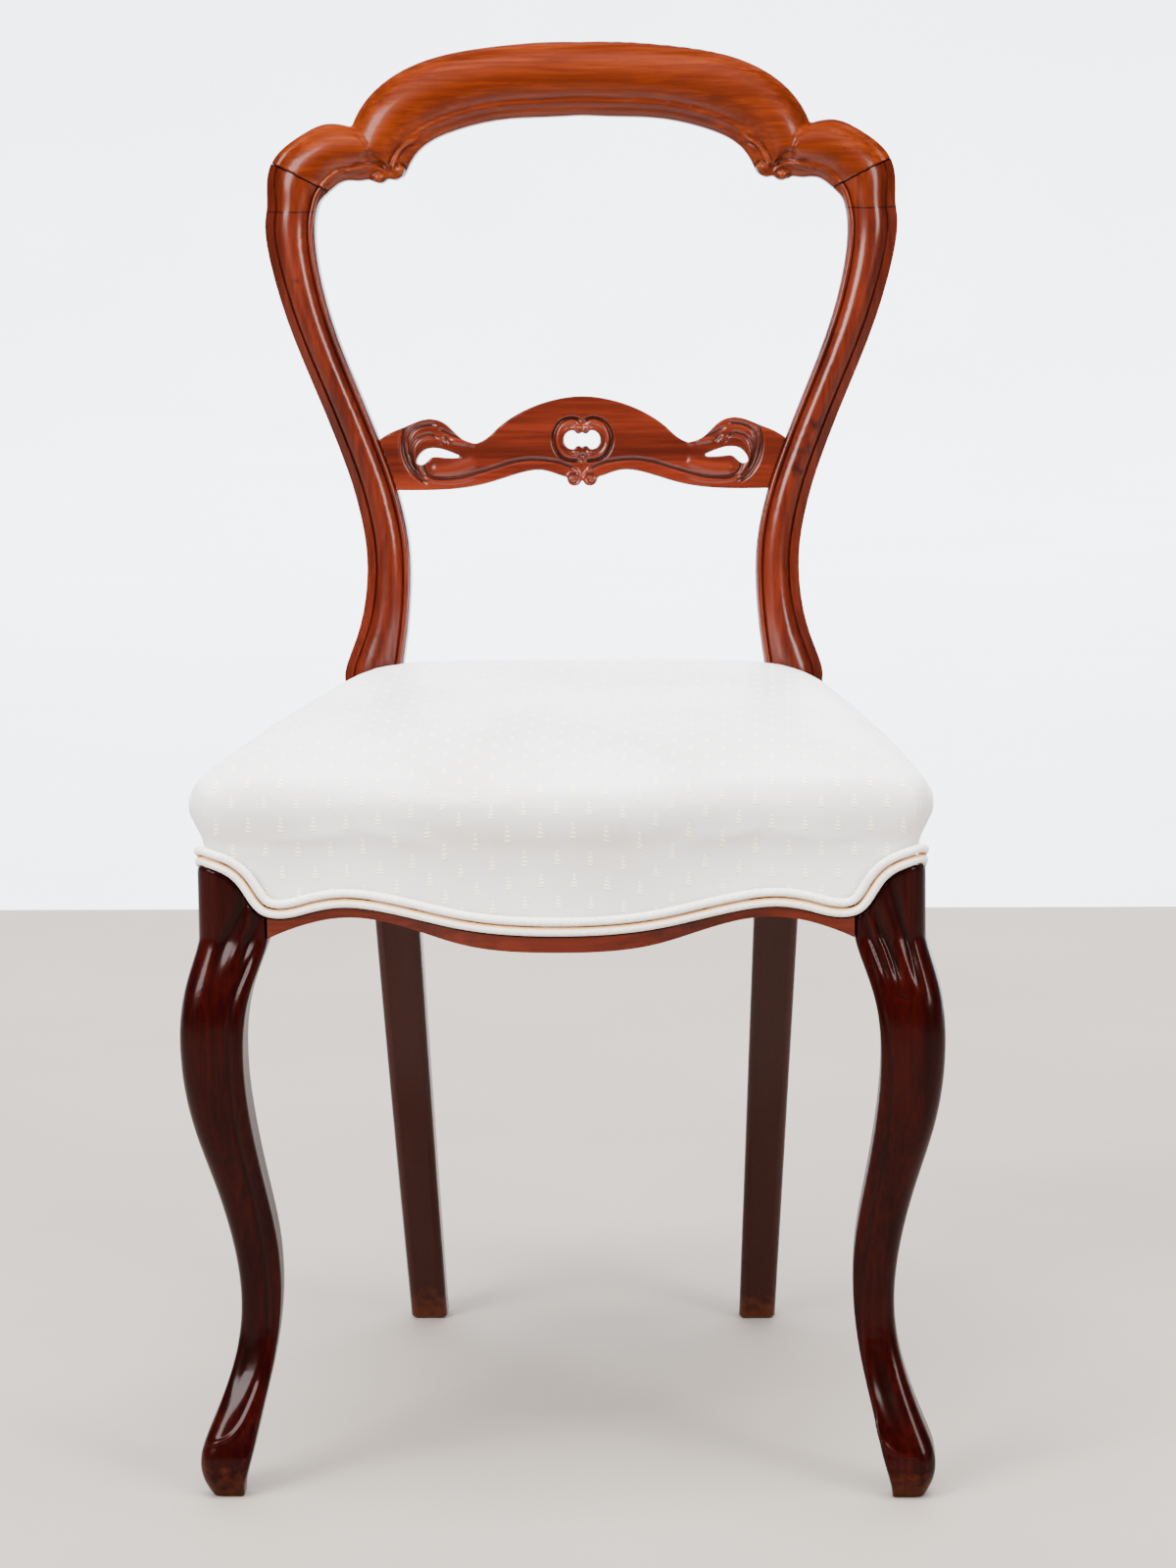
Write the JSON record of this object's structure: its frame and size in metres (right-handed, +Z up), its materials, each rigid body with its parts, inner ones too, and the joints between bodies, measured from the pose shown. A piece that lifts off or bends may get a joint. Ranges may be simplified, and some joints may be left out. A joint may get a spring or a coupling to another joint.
{
  "type": "balloon back dining chair",
  "caption": "Balloon back dining chair with a moulded open back, a pierced middle rail, cabriole front legs and a stuffed-over serpentine seat with double piping.",
  "frame": {"origin": "on the floor under the middle of the chair's plan", "axes": "+Z up, -Y towards the front of the seat, +X to the right seen from the front"},
  "size_m": [0.4712, 0.4798, 0.8809],
  "materials": {
    "mahogany": "french polished, gloss",
    "beech": "planed, unfinished",
    "cover_fabric": "woven ivory cloth with a small raised spot",
    "piping_fabric": "woven cloth over cord",
    "jute_webbing": "plain weave",
    "hessian_cloth": "plain weave",
    "stuffing_fibre": "curled fibre",
    "spring_steel": "drawn wire, coppered",
    "screw_steel": "turned"
  },
  "bodies": {
    "root": {"front_leg_left": "mahogany", "front_leg_right": "mahogany", "rear_leg_left": "mahogany", "rear_leg_right": "mahogany", "shoulder_block_left": "mahogany", "shoulder_block_right": "mahogany", "crest_rail": "mahogany", "middle_rail": "mahogany", "front_rail": "mahogany", "side_rail_left": "mahogany", "side_rail_right": "mahogany", "rear_rail": "mahogany", "corner_block_front_left": "beech", "corner_block_front_right": "beech", "corner_block_rear_left": "beech", "corner_block_rear_right": "beech", "front_rail_dowels": "beech", "side_rail_dowels": "beech", "rear_rail_dowels": "beech", "shoulder_dowels": "beech", "crest_dowels": "beech", "middle_rail_dowels": "beech", "corner_block_screws": "screw_steel", "webbing_across": "jute_webbing", "webbing_lengthwise": "jute_webbing", "seat_springs": "spring_steel", "hessian": "hessian_cloth", "seat_stuffing": "stuffing_fibre", "seat_cover": "cover_fabric", "piping_lower": "piping_fabric", "piping_upper": "piping_fabric", "piping_back": "piping_fabric"}
  },
  "joints": []
}
